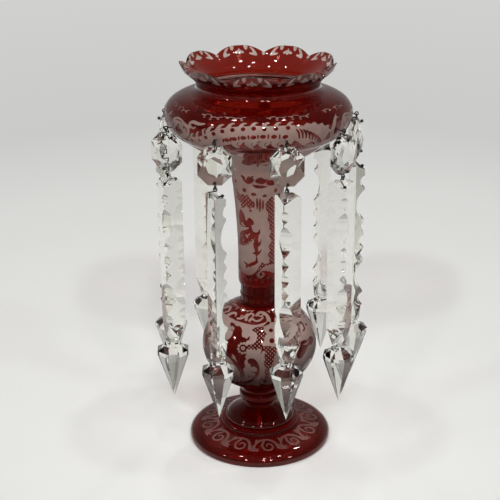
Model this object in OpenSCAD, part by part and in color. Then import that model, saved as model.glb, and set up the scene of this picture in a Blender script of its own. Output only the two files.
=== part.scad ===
// Mantel lustre: a blown ruby glass vase on a stem, knop and foot, hung with cut glass drops.
// Millimetres, +Z up, with the origin at the centre of the foot on the surface it stands on.
// Each drop has a frame of its own: x points out from the stem, y runs round it, z is up.

/* [Foot] */
// Radius of the foot at its edge
foot_r = 60; // [56:0.5:64]
// Width of the flat ring that the foot stands on
foot_ring_w = 8.5; // [6:0.5:12]
// Rise of the hollow under the foot
foot_hollow_h = 5; // [3:0.5:6]
// Height of the foot's thick rounded edge
foot_edge_h = 10; // [8:0.5:11]
// Width of the rounded edge
foot_edge_w = 8; // [6:0.5:10]
// Rise of the foot's top from its edge to the beads
foot_rise_h = 3; // [2:0.25:4]
// Radius of the lower bead on the foot
low_bead_r = 33.2; // [32:0.2:36]
// Radius of the upper bead on the foot
high_bead_r = 29.2; // [26:0.2:30]
// Height of each bead on the foot
bead_h = 4; // [3:0.25:5]
// How far a bead stands out
bead_out = 1.2; // [0.6:0.1:1.8]
// Height of the mound above the beads
mound_h = 8; // [6.5:0.5:10]
// Step between the beads and above them
bead_step = 0.5; // [0.3:0.1:0.8]
// Rounding under the foot's edge
foot_edge_round = 1.5; // [1:0.1:2]

/* [Knop and collars] */
// Radius of the joint between the foot and its collar
foot_neck_r = 13.2; // [12:0.2:14.5]
// Height of the collar between foot and knop
foot_collar_h = 21.4; // [18:0.2:24]
// Radius of the ring on that collar
foot_collar_r = 17.3; // [16.5:0.1:19]
// Radius of the waist above the ring
foot_waist_r = 15.5; // [13.5:0.1:16.2]
// Radius of the knop
knop_r = 47.8; // [44:0.2:49]
// Height of the knop's lower half
knop_low_h = 36.1; // [32:0.2:39]
// Height of the knop's upper half
knop_high_h = 36.7; // [32:0.2:39]
// Radius of the joint between the lower collar and the knop
knop_seat_r = 18; // [16.5:0.2:20]
// Radius of the joint between the knop and the upper collar
knop_top_r = 16; // [15:0.2:17.5]
// Height of the collar between knop and stem
stem_collar_h = 17; // [15:0.2:20]
// Radius of that collar's barrel
stem_collar_r = 15.3; // [14:0.1:16]
// Radius of the rings on that collar
collar_ring_r = 16.4; // [16.1:0.1:18]
// Height of each ring on that collar
collar_ring_h = 2.4; // [1.6:0.1:3]

/* [Stem and bowl] */
// Wall of the blown knop, stem and bowl
wall = 3.2; // [2.6:0.1:3.8]
// Bore of the collar between knop and stem
collar_bore_r = 10.5; // [8:0.1:11.5]
// Height of the stem
stem_h = 94.7; // [85:0.5:105]
// Radius of the stem above its foot
stem_r = 17.1; // [16.2:0.1:18.5]
// Height of the stem's rounded foot
stem_round_h = 6; // [4:0.5:8]
// Height at which the stem starts to widen
stem_straight_h = 16; // [12:0.5:22]
// Radius of the joint between stem and bowl
stem_top_r = 22; // [20.5:0.2:24]
// Height of the flare where the bowl leaves the stem
flare_h = 14; // [12:0.5:17]
// Radius of the bowl at the top of the flare
flare_r = 35; // [32:0.5:38]
// Height of the bowl's straight cone
cone_h = 20; // [17:0.5:23]
// Radius of the bowl at the top of the cone
cone_r = 64.5; // [61:0.5:67]
// Height from the cone to the widest circle
belly_low_h = 17; // [15:0.5:20]
// Radius of the bowl at its widest circle
bowl_r = 74; // [71:0.5:78]
// Height from the widest circle to the shoulder
belly_high_h = 16; // [14:0.5:19]
// Radius of the shoulder
shoulder_r = 54; // [52:0.5:58]
// Height from the shoulder to the neck
shoulder_h = 5; // [4:0.25:7]
// Radius of the neck
neck_r = 48.2; // [45:0.2:50]
// Height from the neck to the crown of the rim
mouth_h = 18.5; // [16:0.5:22]
// Radius of the rim at its crown
rim_r = 61.3; // [58:0.1:64]
// Depth of the notch between two scallops of the rim
notch_d = 6.2; // [4.5:0.1:7]
// Height of the straight lip below the crown
lip_h = 5.7; // [4.5:0.1:7]
// How far the lip leans out over its height
lip_out = 2.6; // [1.5:0.1:3.5]

/* [Hanging wires] */
// Number of drops, and of scallops on the rim
drop_count = 9; // [7:1:10]
// Turn of the first drop from the front, towards the right
first_drop_turn = 15.5; // [0:0.5:40]
// Height of the hooks below the bowl's widest circle
hook_below = 5; // [3:0.25:7]
// Distance of the hanging eyes from the bowl's widest circle
hook_reach = 4; // [3:0.25:8]
// Radius of the wire in an eye
wire_r = 0.45; // [0.35:0.01:0.5]
// Radius of the straight wire of hooks and pins
shank_r = 0.41; // [0.3:0.01:0.44]
// Radius of an eye, to the middle of its wire
eye_r = 1.35; // [1.3:0.01:1.7]
// Radius of the ball head on a hook or pin
head_r = 1.3; // [0.9:0.05:1.5]
// Clearance between two linked eyes
link_gap = 0.2; // [0.1:0.02:0.3]
// Clearance between an eye and the edge of the glass below or above it
eye_gap = 0.4; // [0.3:0.05:0.8]
// Clearance of a hook in its hole in the bowl
hook_fit = 0.1; // [0.06:0.01:0.15]
// Clearance of a pin in its hole in a drop
pin_fit = 0.19; // [0.1:0.01:0.3]
// Clearance between a head or bend and the face of the glass
face_gap = 0.12; // [0.08:0.01:0.3]

/* [Buttons] */
// Width of an octagonal button
button_w = 25.5; // [22:0.5:28]
// Height of a button
button_h = 29.5; // [26:0.5:33]
// Length cut from each corner of a button, along its sides
button_cut = 7.5; // [6:0.25:9]
// Thickness of a button between its tables
button_t = 10; // [8:0.25:12]
// Thickness of a button at its edge
button_edge_t = 3.2; // [2.4:0.1:4]
// Share of the button's height that its table takes
table_share = 0.55; // [0.45:0.01:0.65]
// Distance of a button's holes from its top and bottom
button_hole_in = 2.4; // [2:0.1:3]

/* [Prisms] */
// Length of a prism from its top to its point
prism_len = 189; // [175:1:205]
// Width of a prism's flat back
prism_w = 20.5; // [18:0.25:23]
// Depth of a prism from its back to its ridge
prism_d = 12.4; // [11:0.2:14]
// Length of the three-sided bar
bar_len = 125; // [115:1:132]
// Length of the taper from the bar to the neck
taper_len = 12; // [9:0.5:14]
// Radius of the taper at its lower end
taper_end_r = 6.2; // [5.6:0.1:7]
// Radius of the neck
spear_neck_r = 4.7; // [4:0.1:5.4]
// Length of the neck
spear_neck_len = 4; // [3:0.25:6]
// Radius of the collar on the spear
spear_collar_r = 7.3; // [6.6:0.1:8]
// Radius of the spear at its corners
spear_r = 13.5; // [11.5:0.25:14.5]
// Height of the band at the spear's widest
spear_band_h = 3; // [2:0.25:5]
// Height of the collar on the spear
spear_collar_h = 1.2; // [0.8:0.1:2]
// Fall of the spear's shoulder from its collar to its band
spear_shoulder_h = 3.4; // [2.5:0.1:5]
// Fall of a prism's top from its back to its ridge
roof_fall = 6.5; // [5:0.25:8]
// Width of the bevel at each side of a prism's top
bevel_w = 6; // [4:0.25:8]
// Fall of that bevel
bevel_fall = 3; // [2:0.25:4]
// Distance of a prism's hole from its top
prism_hole_in = 3.5; // [2.6:0.1:4.2]
// Plain length of the ridge above the first cut
ridge_plain = 11.5; // [9:0.5:14]
// Ridge left standing between two cuts
ridge_land = 2; // [1.2:0.1:3]
// Length of a short round cut across the ridge
short_cut = 10; // [8:0.25:11]
// Depth of a short round cut
short_cut_d = 3.6; // [2.5:0.1:4.5]
// Length of a long round cut
long_cut = 25.5; // [22:0.25:27]
// Depth of a long round cut
long_cut_d = 6.2; // [4.5:0.1:7]
// Length of a vee cut
vee_cut = 9.5; // [8:0.25:11]
// Depth of a vee cut
vee_cut_d = 3.4; // [2.5:0.1:4.5]

/* [Hidden] */
$fn = 96;
glass_pieces = ["foot", "foot_collar", "knop", "stem_collar", "stem", "bowl"];
drop_pieces = ["hook", "button", "button_pins", "prism", "prism_pin"];

// Each button and prism hangs turned its own way on its wire, in degrees from facing out.
button_turns = [-8, -12, 0, 10, -15, 12, 8, 35, 22];
prism_turns = [-30, -44, -15, 145, 0, 150, 20, 45, 136];

// Allowance by which a cutter passes the face it cuts.
over = 1;

// Heights of the joints between the glass pieces, from the foot up.
foot_h = foot_edge_h + foot_rise_h + 2 * (bead_h + bead_step) + mound_h;
knop_z = foot_h + foot_collar_h;
knop_mid = knop_z + knop_low_h;
stem_collar_z = knop_mid + knop_high_h;
stem_z = stem_collar_z + stem_collar_h;
bowl_z = stem_z + stem_h;
cone_top_z = bowl_z + flare_h + cone_h;
belly_z = cone_top_z + belly_low_h;
shoulder_z = belly_z + belly_high_h;
neck_z = shoulder_z + shoulder_h;
rim_z = neck_z + mouth_h;

// Heights along a drop, from its hook down to the prism.
drop_r = bowl_r + hook_reach;
drop_step = 360 / drop_count;
link_d = 2 * (eye_r - wire_r) - link_gap;
eye_stand = eye_gap + wire_r + eye_r;
elbow_r = wire_r * 1.12;
hook_z = belly_z - hook_below;
button_top = hook_z - link_d - eye_stand;
button_mid = button_top - button_h / 2;
button_low = button_top - button_h;
prism_eye_z = button_low - eye_stand - link_d;
prism_top = prism_eye_z - eye_stand;

// A curve from a to b. Its handles p and q are shares of the step from a to b, and it leaves out
// its first point, so that curves join end to end.
function curve(a, b, p, q, n = 8) =
    let (
        d = b - a,
        c = [a[0] + p[0] * d[0], a[1] + p[1] * d[1]],
        e = [a[0] + q[0] * d[0], a[1] + q[1] * d[1]]
    )
    [for (i = [1 : n]) let (t = i / n, s = 1 - t)
        s * s * s * a + 3 * s * s * t * c + 3 * s * t * t * e + t * t * t * b];

function half_round(r, z, h, out) =
    [for (a = [-90 : 30 : 90]) [r - out + out * cos(a), z + h / 2 + h / 2 * sin(a)]];

function ellipse_arc(r, h, z, from, to, n = 12) =
    [for (i = [0 : n]) let (a = from + (to - from) * i / n) [r * cos(a), z + h * sin(a)]];

function reversed(points) = [for (i = [len(points) - 1 : -1 : 0]) points[i]];

function without_first(points) = [for (i = [1 : len(points) - 1]) points[i]];

function without_ends(points) = [for (i = [1 : len(points) - 2]) points[i]];

function left_of(a, b) = let (d = (b - a) / norm(b - a)) [-d[1], d[0]];

// The outline moved to its left by t, with mitred corners.
function inset(points, t) =
    let (last = len(points) - 1)
    [for (i = [0 : last])
        let (
            before = left_of(points[max(i - 1, 0)], points[max(i, 1)]),
            after = left_of(points[min(i, last - 1)], points[min(i + 1, last)]),
            mitre = before + after
        )
        points[i] + mitre * 2 * t / (mitre * mitre)];

function radius_at(outline, z) = lookup(z, [for (p = outline) [p[1], p[0]]]);

// Foot
foot_base_r = foot_r - foot_edge_round;
foot_ring_in = foot_base_r - foot_ring_w;
foot_bulge_z = 0.36 * foot_edge_h;
bead_z = foot_edge_h + foot_rise_h;
high_bead_z = bead_z + bead_h + bead_step;
mound_z = high_bead_z + bead_h + bead_step;
mound_r = high_bead_r - bead_out - bead_step;
foot_outline = concat(
    [[foot_base_r, 0]],
    curve([foot_base_r, 0], [foot_r, foot_bulge_z], [0.67, 0], [1, 0.33], 4),
    curve([foot_r, foot_bulge_z], [foot_r - foot_edge_w, foot_edge_h], [0, 0.53], [0.5, 0.89]),
    half_round(low_bead_r, bead_z, bead_h, bead_out),
    half_round(high_bead_r, high_bead_z, bead_h, bead_out),
    [[mound_r, mound_z]],
    curve([mound_r, mound_z], [foot_neck_r, foot_h], [0.14, 0.4], [0.72, 0.7])
);
foot_hollow = curve([0, foot_hollow_h], [foot_ring_in, 0], [0.5, 0], [0.95, 0.4]);

module foot() {
    color("darkred")
    rotate_extrude()
    polygon(concat(foot_outline, [[0, foot_h], [0, foot_hollow_h]], foot_hollow));
}

// Collar between foot and knop
foot_ring_low = [foot_collar_r, foot_h + 0.37 * foot_collar_h];
foot_ring_high = [foot_collar_r, foot_h + 0.52 * foot_collar_h];
foot_waist = [foot_waist_r, foot_h + 0.7 * foot_collar_h];
foot_collar_neck = [foot_neck_r, foot_h + 0.14 * foot_collar_h];
foot_collar_outline = concat(
    [[foot_neck_r, foot_h], foot_collar_neck],
    curve(foot_collar_neck, foot_ring_low, [0, 0.6], [1, 0.5], 5),
    [foot_ring_high],
    curve(foot_ring_high, foot_waist, [0, 0.5], [1, 0.5], 5),
    curve(foot_waist, [knop_seat_r, knop_z], [0, 0.4], [0.5, 0.77], 5)
);

module foot_collar() {
    color("darkred")
    rotate_extrude()
    polygon(concat([[0, foot_h]], foot_collar_outline, [[0, knop_z]]));
}

// Knop: an oblate bulb, blown hollow and open at the top into the collar above it
knop_low_a = acos(knop_seat_r / knop_r);
knop_high_a = acos(knop_top_r / knop_r);
knop_in_r = knop_r - wall;
knop_bore_a = acos(collar_bore_r / knop_in_r);
knop_outline = concat(
    ellipse_arc(knop_r, knop_low_h / sin(knop_low_a), knop_mid, -knop_low_a, 0),
    without_first(ellipse_arc(knop_r, knop_high_h / sin(knop_high_a), knop_mid, 0, knop_high_a))
);
knop_inside = concat(
    ellipse_arc(knop_in_r, knop_low_h - wall, knop_mid, -90, 0),
    without_first(ellipse_arc(knop_in_r, knop_high_h - wall, knop_mid, 0, knop_bore_a)),
    [[collar_bore_r, stem_collar_z]]
);

module knop() {
    color("firebrick")
    rotate_extrude()
    polygon(concat([[0, knop_z]], knop_outline, reversed(knop_inside)));
}

// Collar between knop and stem, with a full ring at its foot and a flatter one in the middle
collar_ring_out = collar_ring_r - stem_collar_r;
collar_ring_z = stem_collar_z + collar_ring_h / 4;
collar_mid_z = stem_collar_z + (stem_collar_h - collar_ring_h) / 2;
stem_collar_outline = concat(
    [[knop_top_r, stem_collar_z]],
    half_round(collar_ring_r, collar_ring_z, collar_ring_h, collar_ring_out),
    half_round(stem_collar_r + collar_ring_out / 2, collar_mid_z, collar_ring_h, collar_ring_out / 2),
    [[stem_collar_r, stem_z]]
);

module stem_collar() {
    color("darkred")
    rotate_extrude()
    polygon(concat([[collar_bore_r, stem_collar_z]], stem_collar_outline, [[collar_bore_r, stem_z]]));
}

// Stem: a tube that widens upwards, with a rounded foot
stem_foot_top = [stem_r, stem_z + stem_round_h];
stem_waist = [stem_r, stem_z + stem_straight_h];
stem_outline = concat(
    [[stem_collar_r, stem_z]],
    curve([stem_collar_r, stem_z], stem_foot_top, [0.72, 0.1], [1, 0.42], 5),
    [stem_waist],
    curve(stem_waist, [stem_top_r, bowl_z], [0.02, 0.43], [0.44, 0.71])
);
stem_inside = concat(
    [[collar_bore_r, stem_z]],
    without_ends(inset(stem_outline, wall)),
    [[stem_top_r - wall, bowl_z]]
);

module stem() {
    color("firebrick")
    rotate_extrude()
    polygon(concat(stem_outline, reversed(stem_inside)));
}

// Bowl: flare, cone, belly, shoulder, neck and scalloped mouth
flare_top = [flare_r, bowl_z + flare_h];
cone_top = [cone_r, cone_top_z];
belly = [bowl_r, belly_z];
shoulder = [shoulder_r, shoulder_z];
neck = [neck_r, neck_z];
lip = [rim_r - lip_out, rim_z - lip_h];
bowl_flare = concat(
    [[stem_top_r, bowl_z]],
    curve([stem_top_r, bowl_z], flare_top, [0.03, 0.43], [0.46, 0.66])
);
bowl_wall = concat(
    [flare_top, cone_top],
    curve(cone_top, belly, [0.58, 0.22], [1, 0.59], 10),
    curve(belly, shoulder, [0, 0.5], [0.4, 0.84], 12),
    curve(shoulder, neck, [0.69, 0.2], [1, 0.5], 6),
    curve(neck, lip, [0, 0.43], [0.65, 0.66]),
    [[rim_r, rim_z]]
);
wall_inset = inset(bowl_wall, wall);
bowl_floor_z = wall_inset[0][1];
bowl_inside = concat([wall_inset[0]], without_ends(wall_inset), [[rim_r - wall, rim_z]]);
bowl_under_r = stem_top_r - wall;

// Each scallop is an arc over the rim; neighbouring arcs meet in a notch.
scallop_half = rim_r * sin(drop_step / 2);
scallop_r = (scallop_half * scallop_half + notch_d * notch_d) / (2 * notch_d);
scallop_reach = 0.87 * scallop_half;
crown_rise = 0.3;

module scallop_notch(turn) {
    rotate([0, 0, turn])
    translate([neck_r - wall, 0, 0])
    rotate([90, 0, 90])
    linear_extrude(rim_r)
    difference() {
        translate([-scallop_reach, rim_z - 2 * notch_d]) square([2 * scallop_reach, 3 * notch_d]);
        for (side = [-1, 1])
            translate([side * scallop_half, rim_z + crown_rise - scallop_r]) circle(r = scallop_r);
    }
}

module hook_hole(turn) {
    rotate([0, 0, turn])
    translate([cone_r - wall, 0, hook_z])
    rotate([0, 90, 0])
    cylinder(r = shank_r + hook_fit, h = drop_r - cone_r + wall);
}

module bowl() {
    color("firebrick")
    difference() {
        rotate_extrude()
        polygon(concat(bowl_flare, without_first(bowl_wall), reversed(bowl_inside),
            [[0, bowl_floor_z], [0, bowl_floor_z - wall], [bowl_under_r, bowl_floor_z - wall],
             [bowl_under_r, bowl_z]]));
        for (i = [1 : drop_count]) {
            scallop_notch(drop_turn(i));
            hook_hole(drop_turn(i));
        }
    }
}

// Drops
function drop_turn(i) = first_drop_turn - 90 + (i - 1) * drop_step;

// A list of turns is used again from its start where there are more drops than turns.
function turn_of(turns, i) = turns[(i - 1) % len(turns)];

module at_drop(i, z) {
    rotate([0, 0, drop_turn(i)])
    translate([drop_r, 0, z])
    children();
}

// A wire eye round the y axis, with a narrow flat worn on the inside.
eye_flat = 0.06;

module eye() {
    rotate([90, 0, 0])
    rotate_extrude()
    translate([eye_r, 0])
    intersection() {
        circle(r = wire_r);
        translate([eye_flat - wire_r, -wire_r]) square(2 * wire_r);
    }
}

module rod_x(from, to, z) {
    translate([from, 0, z])
    rotate([0, 90, 0])
    cylinder(r = shank_r, h = to - from);
}

module rod_z(from, to, x) {
    translate([x, 0, min(from, to)])
    cylinder(r = shank_r, h = abs(to - from));
}

// A bent wire: a ball head in front, a shank to the bend behind, a leg and an arm back to the hang line.
module bent_wire(front, back, shank_z, arm_z, arm_end) {
    translate([front, 0, shank_z]) sphere(r = head_r);
    rod_x(back, front, shank_z);
    translate([back, 0, shank_z]) sphere(r = elbow_r);
    rod_z(shank_z, arm_z, back);
    translate([back, 0, arm_z]) sphere(r = elbow_r);
    rod_x(back, arm_end, arm_z);
}

// Hook: a straight wire through the bowl's wall, with its head inside and its eye outside
hook_head_x = radius_at(bowl_inside, hook_z) - drop_r - head_r - 2 * face_gap;

module hook(i) {
    color("dimgray")
    at_drop(i, hook_z) {
        translate([hook_head_x, 0, 0]) sphere(r = head_r);
        rod_x(hook_head_x, -eye_r, 0);
        eye();
    }
}

// Button: an octagon with a table on each side and facets down to its edge
table_h = table_share * button_h;
facet_a = atan((button_t - button_edge_t) / (button_h - table_h));
button_hole_z = button_h / 2 - button_hole_in;
button_hole_x = button_edge_t / 2 + button_hole_in * tan(facet_a);
button_front = button_hole_x + (head_r + face_gap) / cos(facet_a);
button_back = -button_hole_x - (elbow_r + face_gap) / cos(facet_a);

function octagon(w, h, cut) =
    [for (q = [[1, 1], [-1, 1], [-1, -1], [1, -1]])
        for (k = q[0] * q[1] > 0 ? [0, 1] : [1, 0])
            [q[0] * (w / 2 - cut * k), q[1] * (h / 2 - cut * (1 - k))]];

function mid_points(points) =
    [for (i = [0 : len(points) - 1]) (points[i] + points[(i + 1) % len(points)]) / 2];

module plate_x(points, t) {
    translate([-t / 2, 0, 0])
    rotate([90, 0, 90])
    linear_extrude(t)
    polygon(points);
}

module button(i) {
    edge = octagon(button_w, button_h, button_cut);
    color("gainsboro")
    at_drop(i, button_mid)
    rotate([0, 0, turn_of(button_turns, i)])
    difference() {
        hull() {
            plate_x(edge, button_edge_t);
            plate_x(table_share * mid_points(edge), button_t);
        }
        for (z = [-button_hole_z, button_hole_z])
            translate([-button_t, 0, z])
            rotate([0, 90, 0])
            cylinder(r = shank_r + pin_fit, h = 2 * button_t);
    }
}

// Two pins to a button: the upper eye links into the hook, the lower one carries the prism
button_eye_z = button_h / 2 + eye_stand;

module button_pins(i) {
    color("dimgray")
    at_drop(i, button_mid) {
        for (end = [-1, 1]) {
            arm_z = end * (button_eye_z - eye_r);
            rotate([0, 0, turn_of(button_turns, i)])
                bent_wire(button_front, button_back, end * button_hole_z, arm_z, 0);
            translate([0, 0, arm_z]) sphere(r = elbow_r);
        }
        translate([0, 0, button_eye_z]) rotate([0, 0, 90]) eye();
        translate([0, 0, -button_eye_z]) eye();
    }
}

// Prism: a three-sided bar with cuts across its ridge, a neck and an eight-sided spear.
// Its x runs from the flat back to the ridge, and the bar's middle hangs below the eye.
back_x = -prism_d / 3;
ridge_x = back_x + prism_d;
roof_a = atan(roof_fall / prism_d);
bevel_a = atan(bevel_fall / bevel_w);
prism_hole_x = back_x + prism_hole_in / tan(roof_a);
prism_front = prism_hole_x + (head_r + face_gap) / sin(roof_a);
prism_back = back_x - elbow_r - face_gap;

// The cuts down the ridge, each as length, depth and whether it is round.
short_round = [short_cut, short_cut_d, true];
long_round = [long_cut, long_cut_d, true];
vee = [vee_cut, vee_cut_d, false];
ridge_cuts = [short_round, long_round, vee, short_round, vee, long_round, short_round];

function cut_start(k) = k == 0 ? ridge_plain : cut_start(k - 1) + ridge_cuts[k - 1][0] + ridge_land;

module ridge_cut(length, depth, round) {
    reach = prism_w;
    radius = (length * length / 4 + depth * depth) / (2 * depth);
    rotate([90, 0, 0])
    translate([0, 0, -reach / 2])
    linear_extrude(reach)
    if (round) {
        translate([ridge_x - depth + radius, 0]) circle(r = radius);
    } else {
        polygon([[ridge_x - depth, 0], [ridge_x + depth, -length], [ridge_x + depth, length]]);
    }
}

module back_outline(trim) {
    polygon([[ridge_x - 2 * trim, 0], [back_x + trim, prism_w / 2 - 2 * trim],
             [back_x + trim, 2 * trim - prism_w / 2]]);
}

module bar() {
    difference() {
        translate([0, 0, -bar_len]) linear_extrude(bar_len) back_outline(0);
        translate([back_x, -prism_w, 0])
            rotate([0, roof_a, 0])
            translate([-prism_d, 0, 0])
            cube([3 * prism_d, 2 * prism_w, prism_d]);
        for (side = [0, 1])
            mirror([0, side, 0])
            translate([-prism_d, prism_w / 2 - bevel_w, 0])
            rotate([-bevel_a, 0, 0])
            cube([3 * prism_d, 2 * bevel_w, 2 * bevel_fall]);
        for (k = [0 : len(ridge_cuts) - 1]) {
            cut = ridge_cuts[k];
            if (cut_start(k) + cut[0] < bar_len)
                translate([0, 0, -cut_start(k) - cut[0] / 2]) ridge_cut(cut[0], cut[1], cut[2]);
        }
        translate([back_x - over, 0, -prism_hole_in])
            rotate([0, 90, 0])
            cylinder(r = shank_r + pin_fit, h = prism_d + over);
    }
}

// The taper starts a little inside the bar, so that the two blend without a shared face.
taper_trim = 0.3;
taper_z = -bar_len - taper_len;
spear_collar_z = taper_z - spear_neck_len;
spear_band_z = spear_collar_z - spear_collar_h - spear_shoulder_h;

module taper() {
    slice = 0.4;
    hull() {
        translate([0, 0, -bar_len]) linear_extrude(slice) back_outline(taper_trim);
        translate([0, 0, taper_z]) cylinder(r = taper_end_r, h = slice, $fn = 8);
    }
}

module spear() {
    rotate_extrude($fn = 8)
    polygon([[0, taper_z + over], [spear_neck_r, taper_z + over], [spear_neck_r, spear_collar_z],
             [spear_collar_r, spear_collar_z - spear_collar_h / 3],
             [spear_collar_r, spear_collar_z - spear_collar_h],
             [spear_r, spear_band_z], [spear_r, spear_band_z - spear_band_h], [0, -prism_len]]);
}

module prism(i) {
    color("gainsboro")
    at_drop(i, prism_top)
    rotate([0, 0, turn_of(prism_turns, i)]) {
        bar();
        taper();
        spear();
    }
}

module prism_pin(i) {
    color("dimgray")
    at_drop(i, prism_top) {
        rotate([0, 0, turn_of(prism_turns, i)])
            bent_wire(prism_front, prism_back, -prism_hole_in, eye_stand - eye_r, 0);
        translate([0, 0, eye_stand]) rotate([0, 0, 90]) eye();
        translate([0, 0, eye_stand - eye_r]) sphere(r = elbow_r);
    }
}

foot();
foot_collar();
knop();
stem_collar();
stem();
bowl();
for (i = [1 : drop_count]) {
    hook(i);
    button(i);
    button_pins(i);
    prism(i);
    prism_pin(i);
}
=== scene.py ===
"""Looks of a mantel lustre: a ruby flashed glass vase with frosted engraving, hung with clear cut glass drops.

Objects are in metres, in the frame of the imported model. Outlines and engraving are written in millimetres.
A place in the engraving is (turn, along): the turn in degrees from the front towards +X, and the distance
along the outline from its lower end.
"""
import math

import bpy
import numpy as np
from mathutils import Matrix, Vector


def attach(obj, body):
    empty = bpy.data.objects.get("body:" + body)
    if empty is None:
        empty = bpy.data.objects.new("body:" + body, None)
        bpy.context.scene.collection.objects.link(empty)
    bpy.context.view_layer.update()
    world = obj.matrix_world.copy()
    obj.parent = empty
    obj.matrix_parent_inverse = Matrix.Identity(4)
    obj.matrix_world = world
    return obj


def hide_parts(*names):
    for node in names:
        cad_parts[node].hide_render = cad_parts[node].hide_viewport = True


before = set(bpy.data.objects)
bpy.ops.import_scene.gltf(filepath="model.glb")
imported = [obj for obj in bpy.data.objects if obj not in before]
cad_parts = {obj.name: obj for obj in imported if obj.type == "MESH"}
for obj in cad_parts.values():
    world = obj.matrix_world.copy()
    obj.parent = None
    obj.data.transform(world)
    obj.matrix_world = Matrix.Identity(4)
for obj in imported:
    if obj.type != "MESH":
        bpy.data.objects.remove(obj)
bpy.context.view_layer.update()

MM = 0.001
TINY = 1e-6
DROPS = 9
FIRST_DROP = 15.5
WALL, LIP = 3.2, 1.7
RIM_Z, RIM_R, RIM_NOTCH = 326.4, 61.3, 6.2

# Heights and radii of the joints between the gathers of glass, and of the hollow through them
FOOT_TOP, COLLAR_TOP, KNOP_TOP, STEM_LOW, STEM_TOP = 30, 51.4, 124.2, 141.2, 235.9
FOOT_R, COLLAR_R, KNOP_MOUTH, STEM_R, BOWL_R = 13.2, 18, 16, 15.3, 22
BORE, BOWL_BORE = 10.5, 18.8


# Outlines, as [radius, height]

def curve(a, b, p, q, n=24):
    """Points of a Bezier curve from a to b without a; p and q place its handles as shares of the step."""
    a, b = np.array(a, float), np.array(b, float)
    t = np.linspace(0, 1, n + 1)[1:, None]
    u, v = a + np.array(p) * (b - a), a + np.array(q) * (b - a)
    return ((1 - t) ** 3 * a + 3 * t * (1 - t) ** 2 * u + 3 * t * t * (1 - t) * v + t ** 3 * b).tolist()


def half_round(r, z, h, out, n=12):
    """A bead of height h that stands out to radius r."""
    angles = np.radians(np.linspace(-90, 90, n + 1))
    return [[r - out + out * math.cos(a), z + h / 2 + h / 2 * math.sin(a)] for a in angles]


def ellipse_arc(r, h, z, start, end, n=40):
    """Points of an ellipse with half axes r and h about height z, between two angles in radians."""
    return [[r * math.cos(a), z + h * math.sin(a)] for a in np.linspace(start, end, n + 1)]


def inset(points, t):
    """The same line moved t to its left, with mitred corners; t is a number or one for each point."""
    p = np.array(points, float)
    steps = np.diff(p, axis=0)
    steps /= np.linalg.norm(steps, axis=1)[:, None]
    left = np.stack([-steps[:, 1], steps[:, 0]], 1)
    before, after = np.vstack([left[:1], left]), np.vstack([left, left[-1:]])
    mitre = (before + after) / (1 + np.sum(before * after, axis=1))[:, None]
    return (p + np.resize(t, len(p))[:, None] * mitre).tolist()


FOOT = ([[58.5, 0]] + curve([58.5, 0], [60, 3.6], [.67, 0], [1, .33], 8)
        + curve([60, 3.6], [52, 10], [0, .53], [.5, .89], 16)
        + half_round(33.2, 13, 4, 1.2) + half_round(29.2, 17.5, 4, 1.2)
        + [[27.5, 22]] + curve([27.5, 22], [FOOT_R, FOOT_TOP], [.14, .4], [.72, .7]))
FOOT_HOLLOW = [[0, 5]] + curve([0, 5], [50, 0], [.5, 0], [.95, .4])
FOOT_COLLAR = ([[FOOT_R, FOOT_TOP], [FOOT_R, 33]] + curve([FOOT_R, 33], [17.3, 37.92], [0, .6], [1, .5], 10)
               + [[17.3, 41.13]] + curve([17.3, 41.13], [15.5, 44.98], [0, .5], [1, .5], 10)
               + curve([15.5, 44.98], [COLLAR_R, COLLAR_TOP], [0, .4], [.5, .77], 10))
KNOP_R, KNOP_MID, KNOP_LOW, KNOP_HIGH = 47.8, 87.5, 36.1, 36.7
KNOP_A, KNOP_B = math.acos(COLLAR_R / KNOP_R), math.acos(KNOP_MOUTH / KNOP_R)
KNOP = (ellipse_arc(KNOP_R, KNOP_LOW / math.sin(KNOP_A), KNOP_MID, -KNOP_A, 0)
        + ellipse_arc(KNOP_R, KNOP_HIGH / math.sin(KNOP_B), KNOP_MID, 0, KNOP_B)[1:])
STEM_COLLAR = ([[KNOP_MOUTH, KNOP_TOP]] + half_round(16.4, 124.8, 2.4, 1.1) + half_round(15.85, 131.5, 2.4, .55)
               + [[STEM_R, STEM_LOW]])
STEM = ([[STEM_R, STEM_LOW]] + curve([STEM_R, STEM_LOW], [17.1, 147.2], [.72, .1], [1, .42], 10) + [[17.1, 157.2]]
        + curve([17.1, 157.2], [BOWL_R, STEM_TOP], [.02, .43], [.44, .71]))
BOWL = ([[BOWL_R, STEM_TOP]] + curve([BOWL_R, STEM_TOP], [35, 249.9], [.03, .43], [.46, .66], 12) + [[64.5, 269.9]]
        + curve([64.5, 269.9], [74, 286.9], [.58, .22], [1, .59])
        + curve([74, 286.9], [54, 302.9], [0, .5], [.4, .84])
        + curve([54, 302.9], [48.2, 307.9], [.69, .2], [1, .5], 10)
        + curve([48.2, 307.9], [58.7, 320.7], [0, .43], [.65, .66], 16) + [[RIM_R, RIM_Z]])


def knop_inside():
    """The hollow of the knop, from its bore at the top down to the axis."""
    r = KNOP_R - WALL
    top = math.acos(BORE / r)
    high = (KNOP_HIGH - WALL) / math.sin(top)
    return (ellipse_arc(r, high, KNOP_MID, top, 0, 24)
            + ellipse_arc(r, KNOP_LOW - WALL, KNOP_MID, 0, -math.pi / 2, 24)[1:])


def stem_inside():
    """The hollow of the stem, from its top down."""
    walls = inset(STEM, WALL)[1:-1]
    return [[BOWL_BORE, STEM_TOP]] + walls[::-1] + [[BORE, STEM_LOW]]


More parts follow.
